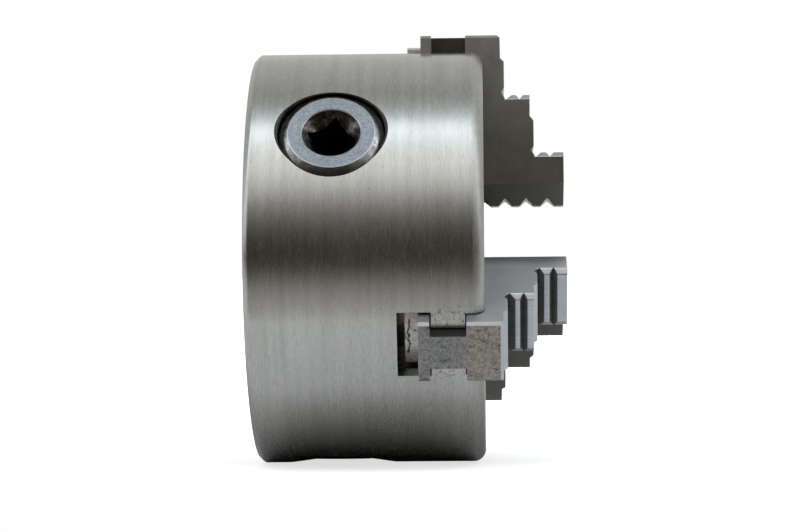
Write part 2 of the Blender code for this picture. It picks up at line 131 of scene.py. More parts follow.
def turned(name, profile, steps):
    mesh = bpy.data.meshes.new(name)
    points = [(radius, 0, height) for radius, height in profile]
    mesh.from_pydata(points, [(i, (i + 1) % len(points)) for i in range(len(points))], [])
    piece = mesh_object(name, mesh)
    spin = piece.modifiers.new("turn", "SCREW")
    spin.steps = steps
    spin.render_steps = steps
    spin.use_merge_vertices = True
    spin.merge_threshold = 0.00001
    return weld(bake(piece))


def prism(name, outline, thickness, placing):
    curve = bpy.data.curves.new(name, "CURVE")
    curve.dimensions = "2D"
    curve.fill_mode = "BOTH"
    curve.extrude = thickness / 2
    spline = curve.splines.new("POLY")
    spline.points.add(len(outline) - 1)
    for point, (across, along) in zip(spline.points, outline):
        point.co = (across, along, 0, 1)
    spline.use_cyclic_u = True
    piece = weld(bake(mesh_object(name, curve)))
    piece.data.transform(placing)
    return piece


def rod(name, radius, low, high, sides, places=((0, 0),)):
    mesh = bpy.data.meshes.new(name)
    shape = bmesh.new()
    for place in places:
        bmesh.ops.create_cone(shape, cap_ends=True, segments=sides, radius1=radius, radius2=radius,
                              depth=high - low, matrix=Matrix.Translation((*place, (low + high) / 2)))
    shape.to_mesh(mesh)
    shape.free()
    return mesh_object(name, mesh)


def box(name, low, high):
    mesh = bpy.data.meshes.new(name)
    shape = bmesh.new()
    bmesh.ops.create_cube(shape, size=1)
    for corner in shape.verts:
        share = corner.co + Vector((0.5, 0.5, 0.5))
        corner.co = Vector(low[i] + (high[i] - low[i]) * share[i] for i in range(3))
    shape.to_mesh(mesh)
    shape.free()
    return mesh_object(name, mesh)


def combine(piece, others, operation="DIFFERENCE"):
    """Boolean a list of closed shapes into a piece, one after another, then drop them."""
    for other in others:
        change = piece.modifiers.new(other.name, "BOOLEAN")
        change.object = other
        change.operation = operation
        change.solver = "EXACT"
    bake(piece)
    for other in others:
        bpy.data.objects.remove(other)
    return piece


def arc(centre, radius, start, end, count):
    angles = [start + (end - start) * i / count for i in range(count + 1)]
    return [(centre[0] + radius * cos(a), centre[1] + radius * sin(a)) for a in angles]


def ring(circle, first_angle):
    angles = [first_angle + n * THIRD for n in range(3)]
    return [(circle * cos(angle), circle * sin(angle)) for angle in angles]


def soften(piece, width, wanted, segments=2, least=radians(28), material=-1):
    """A small radius on the convex edges that wanted() picks, in a material of its own if one is given."""
    shape = bmesh.new()
    shape.from_mesh(piece.data)
    weights = shape.edges.layers.float.get("bevel_weight_edge")
    if weights is None:
        weights = shape.edges.layers.float.new("bevel_weight_edge")
    for edge in shape.edges:
        convex = len(edge.link_faces) == 2 and edge.calc_face_angle_signed(0) > least
        edge[weights] = 1 if convex and wanted(edge) else 0
    shape.to_mesh(piece.data)
    shape.free()
    bevel = piece.modifiers.new("edge", "BEVEL")
    bevel.limit_method = "WEIGHT"
    bevel.width = width
    bevel.segments = segments
    bevel.material = material
    bevel.use_clamp_overlap = False
    bake(piece)
    return piece


def smooth(piece, angle=radians(32)):
    """Smooth shading for a piece made of flats: its small edges turn, its big faces stay flat."""
    piece.data.shade_smooth()
    piece.data.set_sharp_from_angle(angle=angle)
    normals = piece.modifiers.new("flat faces stay flat", "WEIGHTED_NORMAL")
    normals.keep_sharp = True
    return piece


def smooth_turned(piece, angle=radians(32)):
    """Smooth shading for a turned piece, with exact normals on its flats and cylinders."""
    mesh = piece.data
    mesh.shade_smooth()
    mesh.set_sharp_from_angle(angle=angle)
    normals = [(0, 0, 0)] * len(mesh.loops)
    for face in mesh.polygons:
        corners = [mesh.vertices[i].co for i in face.vertices]
        radii = [corner.xy.length for corner in corners]
        level = abs(face.normal.z)
        if level > 0.9999:
            found = [face.normal.copy()] * len(corners)
        elif level < 0.001 and max(radii) - min(radii) < 0.02 * MM and min(radii) > MM:
            outward = 1 if face.normal.xy.dot(corners[0].xy) > 0 else -1
            found = [(outward * corner.xy.normalized()).to_3d() for corner in corners]
        else:
            continue
        for loop, normal in zip(face.loop_indices, found):
            normals[loop] = tuple(normal)
    mesh.normals_split_custom_set(normals)
    return piece


def settle(piece, place, body, node, materials):
    """Give a piece its materials, its place, the body it rides on and the CAD node it stands for."""
    for material in materials:
        piece.data.materials.append(material)
    piece.matrix_world = place
    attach(piece, body)
    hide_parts(node)
    return piece


# ---------------------------------------------------------------- body, cover and screws

def slot_outline():
    mouth, neck, foot = 7.7 * MM, 4.3 * MM, 8.0 * MM
    rib_top = BODY_LENGTH - 4.5 * MM
    rib_bottom = BODY_LENGTH - 12.3 * MM
    right = [(foot, BODY_LENGTH - SLOT_DEPTH), (foot, rib_bottom), (neck, rib_bottom), (neck, rib_top),
             (mouth, rib_top), (mouth, BODY_LENGTH + 5 * MM)]
    return right + [(-across, height) for across, height in reversed(right)]


def make_body():
    front_round = 3 * MM
    chamfer = 1.2 * MM
    lip = 0.8 * MM
    front_arc = arc((BODY_RADIUS - front_round, BODY_LENGTH - front_round), front_round, 0, pi / 2, 12)
    profile = [
        (BORE_RADIUS, SHOULDER), (HUB_RADIUS, SHOULDER), (HUB_RADIUS, CHAMBER_FRONT),
        (CHAMBER_RADIUS, CHAMBER_FRONT), (CHAMBER_RADIUS, SHOULDER), (REGISTER_RADIUS, SHOULDER),
        (REGISTER_RADIUS, 0.4 * MM), (REGISTER_RADIUS + 0.4 * MM, 0), (BODY_RADIUS - chamfer, 0),
        (BODY_RADIUS - 0.2 * MM, chamfer - 0.2 * MM), (BODY_RADIUS, chamfer + 0.2 * MM),
        *[(BODY_RADIUS, (3 + 1.96 * step) * MM) for step in range(25)], *front_arc,
        (BORE_RADIUS + lip, BODY_LENGTH), (BORE_RADIUS, BODY_LENGTH - lip)]
    body = turned("body", profile, 240)
    along_radius = Matrix(((0, 0, 1, 0), (1, 0, 0, 0), (0, 1, 0, 0), (0, 0, 0, 1)))
    slot_start = BORE_RADIUS / 2
    slot_end = BODY_RADIUS + 5 * MM
    cutters = []
    # A pinion's hole, whose broken edge opens at 45 degrees
    bottom, edge = 26 * MM, BODY_RADIUS - 0.65 * MM
    drilled = [(0, bottom), (PINION_HOLE, bottom), (PINION_HOLE, edge),
               (PINION_HOLE + slot_end - edge, slot_end), (0, slot_end)]
    for number in range(3):
        slot = prism(f"slot_{number}", slot_outline(), slot_end - slot_start,
                     Matrix.Translation(((slot_start + slot_end) / 2, 0, 0)) @ along_radius)
        slot.data.transform(turn(number * THIRD))
        cutters.append(slot)
        hole = turned(f"hole_{number}", drilled, 120)
        hole.data.transform(CHUCK.inverted() @ pinion_place(number))
        cutters.append(hole)
    for name, radius, low, high, sides, places in (
            ("bolt_holes", 3.4 * MM, -MM, 15 * MM, 32, ring(BOLT_CIRCLE, 0)),
            ("grub_holes", 3 * MM, -MM, 9 * MM, 32, ring(BOLT_CIRCLE, THIRD / 2)),
            ("cover_holes", 2.05 * MM, SHOULDER - MM, 15.5 * MM, 24, ring(COVER_SCREW_CIRCLE, THIRD / 2))):
        cutters.append(rod(name, radius, low, high, sides, places))
    combine(body, cutters)
    body.data.materials.append(BODY_STEEL)
    body.data.materials.append(HOLE_SHADE_STEEL)
    # The walls of the pinion holes, but not the body's own curved rim beside them, are painted dark as shade
    for number in range(3):
        to_pinion = pinion_place(number).inverted() @ CHUCK
        for face in body.data.polygons:
            middle = to_pinion @ face.center
            in_hole = middle.z > 38 * MM and middle.xy.length < PINION_HOLE + MM
            if in_hole and face.normal.xy.dot(face.center.xy.normalized()) < 0.95:
                face.material_index = 1
    body.data.transform(turn(JAW_1_TILT))
    return smooth_turned(body)


def make_cover():
    edge = 0.4 * MM
    back, front = REGISTER_DEPTH, REGISTER_DEPTH + 2.6 * MM
    rim = REGISTER_RADIUS - 0.3 * MM
    profile = [(BORE_RADIUS + edge, back), (BORE_RADIUS, back + edge), (BORE_RADIUS, front), (rim, front),
               (rim, back + edge), (rim - edge, back)]
    cover = turned("cover", profile, 160)
    seats = []
    for number in range(3):
        seat = turned(f"seat_{number}", countersink(0.3 * MM, back - MM, front + MM), 40)
        seat.data.transform(CHUCK.inverted() @ screw_place(number, COVER_SCREW_CIRCLE))
        seats.append(seat)
    return smooth_turned(combine(cover, seats))


def countersink(clearance, low, high):
    head = 3.4 * MM + clearance
    shank = 1.75 * MM + clearance
    face = REGISTER_DEPTH + 0.3 * MM
    return [(0, low), (head, low), (head, max(low, face) + 0.01 * MM), (shank, face + head - shank),
            (shank, high), (0, high)]


def make_cover_screw():
    low = REGISTER_DEPTH + 0.3 * MM
    rim = 0.25 * MM
    shape = countersink(0, low, 14.5 * MM)
    shape[1:3] = [(3.4 * MM - rim, low), (3.4 * MM, low + rim)]
    shape[3] = (1.75 * MM, low + rim + 1.65 * MM)
    screw = turned("cover_screw", shape, 48)
    socket = rod("hex", 1.25 * MM / cos(pi / 6), 0, low + 1.4 * MM, 6)
    return smooth_turned(combine(screw, [socket]))


def make_pinion_screw():
    head, radius, dog, shoulder, edge = 0.6 * MM, 2.7 * MM, 1.4 * MM, 6.5 * MM, 0.4 * MM
    tip = 9.2 * MM
    profile = [(0, head), (radius - edge, head), (radius, head + edge), (radius, shoulder),
               (dog, shoulder + edge), (dog, tip - edge), (dog - edge, tip), (0, tip)]
    screw = turned("pinion_screw", profile, 48)
    socket = rod("hex", 1.25 * MM / cos(pi / 6), 0, head + 2 * MM, 6)
    return smooth_turned(combine(screw, [socket]))


# ---------------------------------------------------------------- pinions

def teeth_outline(reach):
    """The pinion's toothed section at a distance from the apex of the bevel gears."""
    teeth, gear_teeth, addendum, dedendum, fill = 12, 42, 0.9, 1.2, 0.42
    pressure = radians(25)
    module = 2 * reach / gear_teeth
    pitch_radius = module * teeth / 2
    base_radius = pitch_radius * cos(pressure)
    tip_radius = pitch_radius + module * addendum
    root_radius = pitch_radius - module * dedendum

    def unwound(radius):
        roll = sqrt(max((radius / base_radius) ** 2 - 1, 0))
        return roll - atan(roll)

    radii = [root_radius, base_radius, (base_radius + pitch_radius) / 2, pitch_radius,
             (pitch_radius + tip_radius) / 2, tip_radius]
    half_angle = pi * fill / teeth
    outline = []
    for number in range(teeth):
        middle = number * 2 * pi / teeth
        flank = [(radius, half_angle + unwound(pitch_radius) - unwound(radius)) for radius in radii]
        outline += [(radius * cos(middle - a), radius * sin(middle - a)) for radius, a in flank]
        outline += [(radius * cos(middle + a), radius * sin(middle + a)) for radius, a in reversed(flank)]
    return outline


def make_pinion():
    journal, head, face, neck = 12.3 * MM, 12.1 * MM, 10.1 * MM, 34.7 * MM
    groove, half_groove = 10.5 * MM, 1.8 * MM
    mouth, square = 6.85 * MM, 8.1 * MM
    mouth_depth = mouth - square / 2
    fine = 0.18 * MM
    profile = [(0, neck), (journal - MM, neck), (journal, neck + MM), (journal, BOLT_CIRCLE - half_groove),
               (groove, BOLT_CIRCLE - half_groove), (groove, BOLT_CIRCLE + half_groove),
               (journal, BOLT_CIRCLE + half_groove), (journal, 45.3 * MM), (journal - 0.2 * MM, 45.5 * MM),
               (head, 45.5 * MM), (head, 47.6 * MM), (face + fine, PINION_FACE - fine * 0.7),
               (face - fine, PINION_FACE), (mouth + fine, PINION_FACE),
               (mouth - fine / 2, PINION_FACE - fine), (square / 2, PINION_FACE - mouth_depth),
               (0, PINION_FACE - mouth_depth)]
    pinion = turned("pinion", profile, 144)
    outer, inner = neck + 0.5 * MM, 22.3 * MM
    gear = prism("gear", teeth_outline(outer), outer - inner,
                 Matrix.Translation((0, 0, (outer + inner) / 2)))
    for corner in gear.data.vertices:
        shrink = corner.co.z / outer
        corner.co.x *= shrink
        corner.co.y *= shrink
    combine(pinion, [gear], "UNION")
    corner_radius, socket_floor = square / sqrt(2), PINION_FACE - 12 * MM
    key = rod("key", corner_radius, socket_floor, PINION_FACE + MM, 4)
    key.data.transform(turn(radians(-9.4)))
    cone = turned("cone", [(0, PINION_FACE + MM), (mouth + MM - fine, PINION_FACE + MM),
                           (0, PINION_FACE - mouth + fine)], 144)
    combine(pinion, [key, cone])
    pinion.data.materials.append(PINION_STEEL)
    pinion.data.materials.append(SOCKET_OIL_AND_SHADE_STEEL)
    # The key socket's walls take the dark steel: oil, and painted shade
    for face in pinion.data.polygons:
        middle = face.center
        in_socket = middle.xy.length < corner_radius and middle.z > socket_floor - 0.1 * MM
        if in_socket and face.normal.z < 0.1:
            face.material_index = 1
    return smooth_turned(pinion)


# ---------------------------------------------------------------- jaws

def jaw_outline():
    """The jaw from the side: (radius, height above the front face), in millimetres until the end."""
    nose, end, top, floor = JAW_NOSE / MM, JAW_END / MM, JAW_HEIGHT / MM, -JAW_DEPTH / MM
    low, high = LOW_GRIP / MM, HIGH_GRIP / MM
    v_depth = 1.3
    end_and_low_step = [(end, floor), (end, 4.2), (48.1, 4.3), (47.3, 5.2), (40.8, 5.2), (39.7, 4.5)]
    low_grip = [(low - v_depth, 5.6), (low, 7.0), (low, 8.1), (low - v_depth, 8.95), (low, 9.8), (low, 11.4)]
    middle_step = [(33.7, 11.4), (32.6, 12.3), (26.3, 12.3), (25.3, 11.6)]
    high_grip = [(high - v_depth, 12.8), (high, 14.0), (high, 15.3), (high - v_depth, 16.2), (high, 17.1),
                 (high, top)]
    outline = end_and_low_step + low_grip + middle_step + high_grip + [(nose, top)]
    valley = 13.85
    for number in range(4):
        low_point = 15.5 - 5.13 * number
        outline += [(nose, low_point + 1.75), (valley, low_point + 0.15), (valley, low_point - 0.15),
                    (nose, low_point - 1.6)]
    outline.append((nose, floor))
    return [(radius * MM, height * MM) for radius, height in outline]


def tooth_outline(outer_face):
    """A scroll tooth seen along the spindle: two faces that bow and lean with the scroll."""
    reach = JAW_WIDTH / 2 - 0.3 * MM
    outer_bow, inner_bow = 18.5 * MM, 34 * MM
    lean = -SCROLL_PITCH / (2 * pi)
    inner_face = outer_face - TOOTH_WIDTH

    def bowed(face, curve, across):
        tilt = across - lean * curve / face
        return face - curve + sqrt(curve ** 2 - tilt ** 2)

    spots = [reach * (i / 8 - 1) for i in range(17)]
    outer = [(bowed(outer_face, outer_bow, across), across) for across in spots]
    return outer + [(bowed(inner_face, inner_bow, across), across) for across in reversed(spots)]


def make_jaw(outer_tooth, finish, worn_and_highlit_end):
    """A jaw whose outermost scroll tooth ends at a given radius. Its end face may have bright edges, worn
    and with a painted highlight.
    """
    upright = Matrix.Translation((0, 0, BODY_LENGTH)) @ Matrix.Rotation(pi / 2, 4, "X")
    jaw = prism("jaw", jaw_outline(), JAW_WIDTH, upright)
    cutters = []
    tip, flank, bevel_length = 1.3 * MM, JAW_WIDTH / 2, 4.6 * MM
    slope = (flank - tip) / bevel_length
    before, beyond = 3 * MM, 1.5 * MM
    for side in (1, -1):
        low, high = sorted((side * JAW_WAIST / 2, side * JAW_WIDTH))
        cutters.append(box("groove", (0, low, GROOVE_BOTTOM), (2 * JAW_END, high, GROOVE_TOP)))
        wedge = [(JAW_NOSE - before, tip - before * slope),
                 (JAW_NOSE + bevel_length + beyond, flank + beyond * slope),
                 (JAW_NOSE - before, flank + beyond * slope)]
        cutters.append(prism("nose", [(radius, side * across) for radius, across in wedge], 60 * MM,
                             Matrix.Translation((0, 0, BODY_LENGTH))))
        depth, spare = 1.2 * MM, 0.6 * MM
        for grip, low, high in ((LOW_GRIP, 5.35 * MM, 13 * MM), (HIGH_GRIP, 12.45 * MM, 21 * MM)):
            corner = [(grip + spare, side * (flank - depth - spare)),
                      (grip + spare, side * (flank + spare)),
                      (grip - depth - spare, side * (flank + spare))]
            cutters.append(prism("grip_corner", corner, high - low,
                                 Matrix.Translation((0, 0, BODY_LENGTH + (low + high) / 2))))
    height = 3.5 * MM
    teeth = []
    face = outer_tooth
    while face - TOOTH_WIDTH > JAW_NOSE + MM:
        teeth.append(prism("tooth", tooth_outline(face), height,
                           Matrix.Translation((0, 0, BODY_LENGTH - TOOTH_DEPTH + height / 2))))
        face -= SCROLL_PITCH
    combine(jaw, teeth, "UNION")
    combine(jaw, cutters)

    def around_end(edge):
        """The long edges of the end face, on the flanks and at the top."""
        middle = (edge.verts[0].co + edge.verts[1].co) / 2
        return (min(corner.co.x for corner in edge.verts) > JAW_END - 0.1 * MM
                and (abs(middle.y) > flank - 0.1 * MM or middle.z > BODY_LENGTH + 4 * MM)
                and middle.z > BODY_LENGTH - 14 * MM)

    def upper(edge):
        middle = (edge.verts[0].co + edge.verts[1].co) / 2
        return middle.z > BODY_LENGTH - JAW_DEPTH - 0.1 * MM and middle.x < JAW_END - MM

    plain, edge_wear_and_highlight, groove_shade = range(3)
    for material in (finish, JAW_EDGE_WEAR_AND_HIGHLIGHT_STEEL, GROOVE_SHADE_STEEL):
        jaw.data.materials.append(material)
    for face in jaw.data.polygons:
        out, side, along = face.normal
        middle = face.center
        sloped = abs(abs(out) - abs(side)) < 0.1 and abs(along) < 0.1
        in_grip = any(grip - 1.4 * MM < middle.x < grip - 0.05 * MM for grip in (LOW_GRIP, HIGH_GRIP))
        # Worn and a painted highlight: the sloped grip chamfers take the bright edge steel
        if sloped and middle.z > BODY_LENGTH + 5 * MM and middle.x > 20 * MM:
            face.material_index = edge_wear_and_highlight
        # Painted shade: the slopes of the grip grooves take a steel of their own
        if in_grip and abs(along) > 0.4 and out > 0.3 and middle.z > BODY_LENGTH + 4.9 * MM:
            face.material_index = groove_shade
    soften(jaw, 0.7 * MM, around_end, segments=1, material=edge_wear_and_highlight if worn_and_highlit_end else plain)
    return smooth(soften(jaw, 0.2 * MM, upper))


# ---------------------------------------------------------------- materials

class Steel:
    """A node material under construction: object coordinates in, a Principled shader out."""

    def __init__(self, name, roughness=0.3, anisotropy=0.0):
        self.material = bpy.data.materials.new(name)
        self.material.use_nodes = True
        self.nodes = self.material.node_tree.nodes
        self.links = self.material.node_tree.links
        self.shader = self.nodes["Principled BSDF"]
        self.shader.inputs["Metallic"].default_value = 1
        self.shader.inputs["Roughness"].default_value = roughness
        self.shader.inputs["Anisotropic"].default_value = anisotropy
        self.shader.inputs["Anisotropic Rotation"].default_value = 0.25
        self.place = self.nodes.new("ShaderNodeTexCoord").outputs["Object"]

    def feed(self, socket, value):
        if hasattr(value, "is_output"):
            self.links.new(value, socket)
        elif isinstance(value, tuple) and len(value) == 3 and socket.type == "RGBA":
            socket.default_value = (*value, 1)
        else:
            socket.default_value = value

    def maths(self, operation, first, second=0.0, third=0.0):
        node = self.nodes.new("ShaderNodeMath")
        node.operation = operation
        for socket, value in zip(node.inputs, (first, second, third)):
            self.feed(socket, value)
        return node.outputs[0]

    def parts(self, vector):
        node = self.nodes.new("ShaderNodeSeparateXYZ")
        self.feed(node.inputs[0], vector)
        return node.outputs

    def vector(self, x, y, z):
        node = self.nodes.new("ShaderNodeCombineXYZ")
        for socket, value in zip(node.inputs, (x, y, z)):
            self.feed(socket, value)
        return node.outputs[0]

    def stretched(self, x, y, z):
        node = self.nodes.new("ShaderNodeMapping")
        node.inputs["Scale"].default_value = (x, y, z)
        self.feed(node.inputs["Vector"], self.place)
        return node.outputs[0]

    def noise(self, vector, scale=1.0, detail=3.0, rough=0.5):
        node = self.nodes.new("ShaderNodeTexNoise")
        self.feed(node.inputs["Vector"], vector)
        node.inputs["Scale"].default_value = scale
        node.inputs["Detail"].default_value = detail
        node.inputs["Roughness"].default_value = rough
        return node.outputs["Fac"]

    def span(self, value, low, high, new_low=0.0, new_high=1.0):
        node = self.nodes.new("ShaderNodeMapRange")
        ends = {"From Min": low, "From Max": high, "To Min": new_low, "To Max": new_high}
        for name, number in ends.items():
            node.inputs[name].default_value = number
        self.feed(node.inputs["Value"], value)
        return node.outputs["Result"]

    def blend(self, factor, first, second, mode="MIX"):
        node = self.nodes.new("ShaderNodeMix")
        node.data_type = "RGBA"
        node.blend_type = mode
        self.feed(node.inputs["Factor"], factor)
        self.feed(node.inputs[6], first)
        self.feed(node.inputs[7], second)
        return node.outputs[2]

    def around(self, fine, dashes=1.0):
        """Coordinates fine along the axis and the radius but slow round the axis, for tool marks."""
        x, y, z = self.parts(self.place)
        squares = self.maths("ADD", self.maths("MULTIPLY", x, x), self.maths("MULTIPLY", y, y))
        radius = self.maths("SQRT", squares)
        safe = self.maths("MAXIMUM", radius, 0.0001)
        depth = self.maths("MULTIPLY", self.maths("ADD", z, radius), fine)
        turned_x = self.maths("MULTIPLY", self.maths("DIVIDE", x, safe), dashes)
        turned_y = self.maths("MULTIPLY", self.maths("DIVIDE", y, safe), dashes)
        return self.vector(turned_x, turned_y, depth), radius

    def bump(self, height, strength, distance):
        node = self.nodes.new("ShaderNodeBump")
        node.inputs["Strength"].default_value = strength
        node.inputs["Distance"].default_value = distance
        self.feed(node.inputs["Height"], height)
        self.feed(self.shader.inputs["Normal"], node.outputs[0])

    def round_tangent(self):
        node = self.nodes.new("ShaderNodeTangent")
        node.direction_type = "RADIAL"
        node.axis = "Z"
        self.feed(self.shader.inputs["Tangent"], node.outputs[0])


def turned_steel(name, base, dark, roughness, anisotropy, line_scale, dashes=1.0, fillet=0.0):
    """Turned steel with fine tool marks.

    Past a fillet's start, given along the axis, it's duller, and it's speckled beside the second jaw's slot.
    """
    steel = Steel(name, roughness, anisotropy)
    lines = steel.noise(steel.around(line_scale, dashes)[0], 1.6, 4, 0.6)
    broad = steel.noise(steel.around(line_scale / 7)[0], 1.2, 2, 0.5)
    cloud = steel.noise(steel.place, 90, 4, 0.6)
    pits = steel.span(steel.noise(steel.place, 1400, 2, 0.5), 0.68, 0.76)
    tone = steel.maths("MULTIPLY_ADD", lines, 0.6, steel.maths("MULTIPLY", broad, 0.4))
    colour = steel.blend(steel.span(tone, 0.36, 0.64), dark, base)
    colour = steel.blend(steel.span(cloud, 0.3, 0.75, 0, 0.12), colour, dark)
    colour = steel.blend(steel.maths("MULTIPLY", pits, 0.35), colour, (0.05, 0.045, 0.04))
    if fillet:
        x, y, z = steel.parts(steel.place)
        slot_angle = THIRD + JAW_1_TILT
        across = steel.maths("SUBTRACT", steel.maths("MULTIPLY", x, sin(slot_angle)),
                             steel.maths("MULTIPLY", y, cos(slot_angle)))
        near = steel.span(steel.maths("ABSOLUTE", across), 7.5 * MM, 10.5 * MM, 1, 0)
        near = steel.maths("MULTIPLY", near, steel.span(z, BODY_LENGTH - 15 * MM, BODY_LENGTH - 11 * MM))
        near = steel.maths("MULTIPLY", near, steel.maths("GREATER_THAN", y, 0.0))
        specks = steel.span(steel.noise(steel.place, 1100, 4, 0.65), 0.53, 0.63)
        colour = steel.blend(steel.maths("MULTIPLY", steel.maths("MULTIPLY", specks, near), 0.7), colour,
                             (0.06, 0.05, 0.035))
    steel.feed(steel.shader.inputs["Base Color"], colour)
    grain = steel.span(steel.maths("ADD", lines, cloud), 0.7, 1.3, roughness - 0.04, roughness + 0.06)
    if fillet:
        corner = steel.span(steel.parts(steel.place)[2], fillet, fillet + 0.4 * MM, 0, 0.13)
        grain = steel.maths("ADD", grain, corner)
    steel.feed(steel.shader.inputs["Roughness"], grain)
    steel.bump(lines, 0.25, 0.00002)
    steel.round_tangent()
    return steel.material


def ground_steel(name, base, dark, roughness, worn=False, nose=(1, 1, 1), fade=(26, 52), oil=1.0):
    """Flat-ground, oiled steel, tinted towards the nose between two radii in millimetres.

    A worn one has a stained end face and scroll teeth, and oily guide grooves.
    """
    steel = Steel(name, roughness)
    out, side, along = steel.parts(steel.place)
    lines = steel.noise(steel.stretched(150, 6000, 150), 1, 3, 0.55)
    cloud = steel.noise(steel.place, 160, 4, 0.6)
    grain = steel.noise(steel.place, 1900, 3, 0.65)
    colour = steel.blend(steel.span(lines, 0.35, 0.65), dark, base)
    colour = steel.blend(steel.span(cloud, 0.35, 0.7, 0, 0.3), colour, dark)
    colour = steel.blend(steel.span(out, fade[0] * MM, fade[1] * MM, 1, 0), colour, nose, "MULTIPLY")
    if worn:
        # A grey foot and a browner head on the end face, and pale scroll teeth
        end = steel.span(out, JAW_END - 0.3 * MM, JAW_END - 0.1 * MM)
        head = steel.span(along, BODY_LENGTH - 5.5 * MM, BODY_LENGTH - 3.2 * MM)
        floor = BODY_LENGTH - JAW_DEPTH
        teeth = steel.span(along, floor - 0.1 * MM, floor + 0.1 * MM, 1, 0)
        fine = steel.span(grain, 0.36, 0.64)
        foot_tone = steel.blend(fine, (0.10, 0.10, 0.104), (0.235, 0.235, 0.235))
        head_tone = steel.blend(fine, (0.145, 0.125, 0.103), (0.32, 0.285, 0.245))
        colour = steel.blend(end, colour, steel.blend(head, foot_tone, head_tone))
        colour = steel.blend(teeth, colour, steel.blend(fine, (0.46, 0.43, 0.385), (0.66, 0.625, 0.57)))
        # Stains, a trickle of old oil along the teeth, and specks
        blotch = steel.span(steel.noise(steel.place, 800, 5, 0.7), 0.50, 0.62)
        where = steel.span(steel.noise(steel.place, 210, 3, 0.6), 0.40, 0.58)
        marked = steel.maths("MAXIMUM", end, teeth)
        amount = steel.maths("MULTIPLY", steel.maths("MULTIPLY", blotch, where), 0.85)
        colour = steel.blend(steel.maths("MULTIPLY", amount, marked), colour, (0.035, 0.028, 0.02))
        bend = steel.maths("MULTIPLY_ADD", steel.noise(steel.stretched(60, 520, 60), 1, 4, 0.7), 3.4 * MM,
                           BODY_LENGTH - 19.1 * MM)
        off_line = steel.maths("ABSOLUTE", steel.maths("SUBTRACT", along, bend))
        spread = steel.maths("MULTIPLY", steel.noise(steel.place, 1300, 4, 0.7), 0.6 * MM)
        trickle = steel.span(steel.maths("SUBTRACT", spread, off_line), 0, 0.12 * MM)
        off_middle = steel.maths("ABSOLUTE", side)
        trickle = steel.maths("MULTIPLY", trickle, steel.span(off_middle, 4.1 * MM, 4.6 * MM, 1, 0))
        colour = steel.blend(steel.maths("MULTIPLY", trickle, teeth), colour, (0.008, 0.007, 0.006))
        speck = steel.span(steel.noise(steel.place, 2400, 2, 0.5), 0.64, 0.70)
        colour = steel.blend(steel.maths("MULTIPLY", speck, steel.maths("MULTIPLY", end, 0.6)), colour,
                             (0.05, 0.045, 0.04))
        # Dark oil in the guide grooves, and clear oil everywhere else
        flank = JAW_WIDTH / 2
        deep = steel.span(off_middle, flank - 0.2 * MM, flank - 0.05 * MM, 1, 0)
        below = steel.span(along, GROOVE_TOP - 0.15 * MM, GROOVE_TOP - 0.05 * MM, 1, 0)
        above = steel.span(along, GROOVE_BOTTOM + 0.05 * MM, GROOVE_BOTTOM + 0.15 * MM)
        oily = steel.maths("MULTIPLY", steel.maths("MULTIPLY", deep, below), above)
        oily = steel.maths("MULTIPLY", oily, steel.span(end, 0, 1, 0.85, 0))
        colour = steel.blend(oily, colour, (0.03, 0.028, 0.027))
        steel.feed(steel.shader.inputs["Coat Weight"], steel.span(oily, 0, 0.5, oil, 0))
        steel.shader.inputs["Coat IOR"].default_value = 1.6
        steel.shader.inputs["Coat Roughness"].default_value = 0.35
    steel.feed(steel.shader.inputs["Base Color"], colour)
    steel.feed(steel.shader.inputs["Roughness"],
               steel.span(cloud, 0.3, 0.7, roughness - 0.04, roughness + 0.08))
    steel.bump(lines, 0.15, 0.00002)
    return steel.material


def pinion_steel(name):
    """The pinion's head: a light face between bright rims that are painted highlights, a duller outer
    chamfer with painted shade on one side, and a countersink painted dark as shade.
    """
    steel = Steel(name, 0.4, 0.3)
    marks_place, radius = steel.around(5200, 5)
    marks = steel.noise(marks_place, 1.6, 4, 0.6)
    grain = steel.noise(steel.place, 2600, 3, 0.6)
    mottle = steel.noise(steel.place, 700, 4, 0.6)
    tone = steel.maths("MULTIPLY_ADD", marks, 0.5, steel.maths("MULTIPLY", grain, 0.5))
    face = steel.blend(steel.span(tone, 0.38, 0.62), (0.125, 0.142, 0.155), (0.275, 0.30, 0.325))
    chamfer = steel.blend(steel.span(mottle, 0.4, 0.62), (0.28, 0.27, 0.265), (0.48, 0.48, 0.49))
    stained = steel.span(steel.noise(steel.place, 380, 4, 0.65), 0.5, 0.62)
    chamfer = steel.blend(steel.maths("MULTIPLY", stained, 0.6), chamfer, (0.12, 0.10, 0.088))
    # Painted shade: the chamfer is darker towards one side of the pinion
    shaded_side = steel.span(steel.parts(steel.place)[1], 4 * MM, 10 * MM, 0, 0.75)
    chamfer = steel.blend(shaded_side, chamfer, (0.06, 0.055, 0.052))
    # Painted shade: the countersink is coloured dark
    mouth = steel.blend(steel.span(mottle, 0.42, 0.62), (0.03, 0.027, 0.026), (0.14, 0.127, 0.118))
    outside = steel.span(radius, 10.15 * MM, 10.3 * MM)
    inside = steel.span(radius, 6.7 * MM, 6.85 * MM, 1, 0)
    colour = steel.blend(outside, face, chamfer)
    colour = steel.blend(inside, colour, mouth)
    # Painted highlights: lighter rings at the face's outer and inner rims
    for rim, half in ((10.1 * MM, 0.16 * MM), (6.9 * MM, 0.13 * MM)):
        away = steel.maths("ABSOLUTE", steel.maths("SUBTRACT", radius, rim))
        near = steel.span(away, half * 0.6, half, 0.75, 0)
        colour = steel.blend(near, colour, (0.50, 0.51, 0.52))
    steel.feed(steel.shader.inputs["Base Color"], colour)
    plain = steel.maths("MAXIMUM", outside, inside)
    steel.feed(steel.shader.inputs["Roughness"], steel.span(plain, 0, 1, 0.42, 0.2))
    steel.bump(tone, 0.25, 0.00002)
    steel.round_tangent()
    return steel.material


